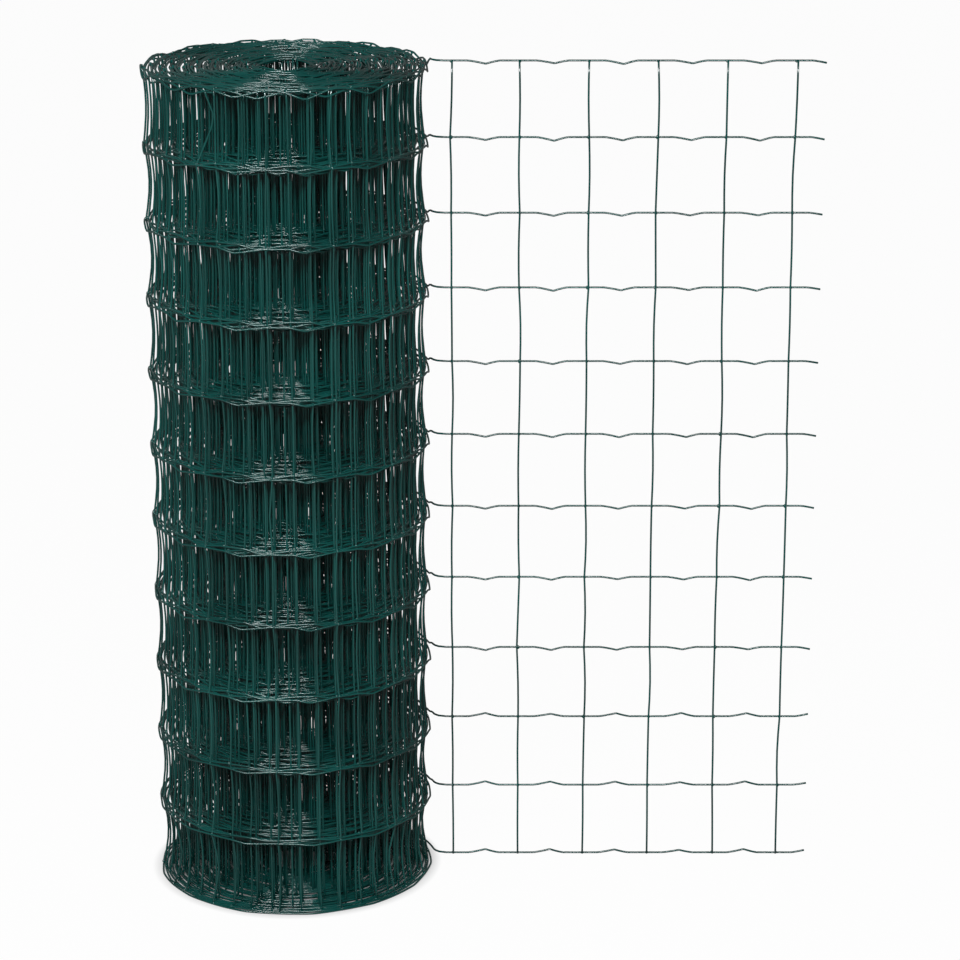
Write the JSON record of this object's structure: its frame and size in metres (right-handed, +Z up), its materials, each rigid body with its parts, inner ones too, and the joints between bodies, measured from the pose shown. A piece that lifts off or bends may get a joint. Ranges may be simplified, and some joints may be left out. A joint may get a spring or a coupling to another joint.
{
  "type": "roll of welded wire mesh fencing",
  "caption": "Upright roll of green plastic-coated welded mesh fencing with an open bore and its free end pulled out flat beside it.",
  "frame": {"origin": "on the axis of the roll's bore, at the floor that the roll stands on", "axes": "+Z up along the roll's bore; +X along the flat pulled-out end, away from the roll; +Y towards the back of the pulled-out end"},
  "size_m": [0.6725, 0.286, 0.838],
  "materials": {
    "coated_wire": "glossy dark green plastic coat on steel wire"
  },
  "bodies": {
    "root": {"wound_roll": "coated_wire", "loose_end": "coated_wire"}
  },
  "joints": []
}
